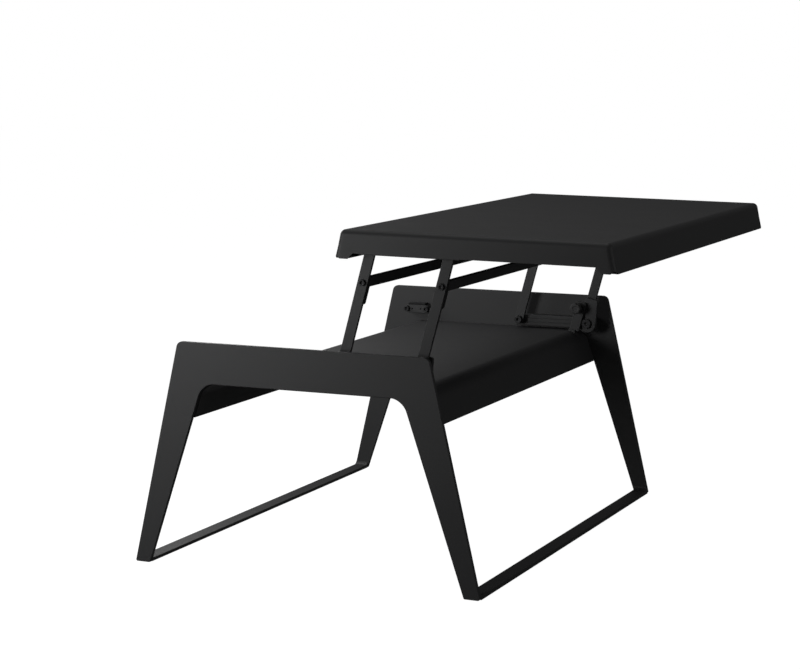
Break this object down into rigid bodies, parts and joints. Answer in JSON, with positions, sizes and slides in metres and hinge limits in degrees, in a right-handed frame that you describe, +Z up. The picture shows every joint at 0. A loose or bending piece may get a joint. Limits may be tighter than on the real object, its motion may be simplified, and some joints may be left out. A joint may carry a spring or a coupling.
{
  "type": "lift-top coffee table",
  "caption": "Low trestle table in bent sheet metal whose top lifts and swings out level on paired parallel arms, above an open storage shelf.",
  "frame": {"origin": "centre of the bounding box on the floor, with the top raised as in the picture", "axes": "+Z up, +Y along the table, +X towards the side that the raised top swings out to"},
  "size_m": [0.8858, 0.908, 0.6048],
  "materials": {
    "powder_coat": "matt black powder coat, fine texture",
    "arm_coat": "satin black powder coat",
    "black_steel": "blackened, satin",
    "pin_steel": "ground steel",
    "plastic": "matt black nylon",
    "rubber": "matt black"
  },
  "bodies": {
    "base": {"end_frame_near": "powder_coat", "end_frame_far": "powder_coat", "floor_bar_left": "powder_coat", "floor_bar_right": "powder_coat", "shelf": "powder_coat", "pivot_rail_near": "powder_coat", "pivot_rail_far": "powder_coat", "base_pivot_bolt_near_left": "black_steel", "base_pivot_spacer_near_left": "plastic", "base_pivot_bolt_near_right": "black_steel", "base_pivot_spacer_near_right": "plastic", "base_pivot_bolt_far_left": "black_steel", "base_pivot_spacer_far_left": "plastic", "base_pivot_bolt_far_right": "black_steel", "base_pivot_spacer_far_right": "plastic", "rest_block_near": "powder_coat", "rest_pad_near": "rubber", "rest_screw_near_left": "black_steel", "rest_screw_near_right": "black_steel", "rest_block_far": "powder_coat", "rest_pad_far": "rubber", "rest_screw_far_left": "black_steel", "rest_screw_far_right": "black_steel", "lock_post_near": "powder_coat", "lock_post_far": "powder_coat"},
    "arms_left": {"arm_near_left": "arm_coat", "cross_bar_screw_near_left": "black_steel", "arm_far_left": "arm_coat", "cross_bar_screw_far_left": "black_steel", "cross_bar_left": "arm_coat"},
    "arms_right": {"arm_near_right": "arm_coat", "cross_bar_screw_near_right": "black_steel", "arm_hub_near": "arm_coat", "arm_far_right": "arm_coat", "cross_bar_screw_far_right": "black_steel", "arm_hub_far": "arm_coat", "cross_bar_right": "arm_coat"},
    "top": {"table_top": "powder_coat", "top_pivot_bar_near": "powder_coat", "top_pivot_bolt_near_left": "black_steel", "top_pivot_spacer_near_left": "plastic", "top_pivot_bolt_near_right": "black_steel", "top_pivot_spacer_near_right": "plastic", "top_pivot_bar_far": "powder_coat", "top_pivot_bolt_far_left": "black_steel", "top_pivot_spacer_far_left": "plastic", "top_pivot_bolt_far_right": "black_steel", "top_pivot_spacer_far_right": "plastic"},
    "lock_near": {"lock_knob_near": "plastic", "lock_pin_near": "pin_steel"},
    "lock_far": {"lock_knob_far": "plastic", "lock_pin_far": "pin_steel"}
  },
  "joints": [
    {"name": "lift_left", "type": "hinge", "parent": "base", "child": "arms_left", "pos_m": [-0.05541, 0, 0.3465], "axis": [0, -1, 0], "range_deg": [0, 95.44]},
    {"name": "lift_right", "type": "hinge", "parent": "base", "child": "arms_right", "pos_m": [0.09459, 0, 0.3465], "axis": [0, -1, 0], "range_deg": [0, 95.44]},
    {"name": "top_level", "type": "hinge", "parent": "arms_left", "child": "top", "pos_m": [0.00968, 0, 0.58491], "axis": [0, -1, 0], "range_deg": [-94.78, 0]},
    {"name": "lock_near", "type": "slide", "parent": "base", "child": "lock_near", "axis": [0, 1, 0], "range_m": [0, 0.006], "stiffness_N_per_m": 400, "springref_m": -0.004},
    {"name": "lock_far", "type": "slide", "parent": "base", "child": "lock_far", "axis": [0, -1, 0], "range_m": [0, 0.006], "stiffness_N_per_m": 400, "springref_m": -0.004}
  ],
  "couplings": [
    {"joint": "lift_right", "follows": "lift_left", "ratio": 1},
    {"joint": "top_level", "follows": "lift_left", "ratio": -0.99308}
  ]
}
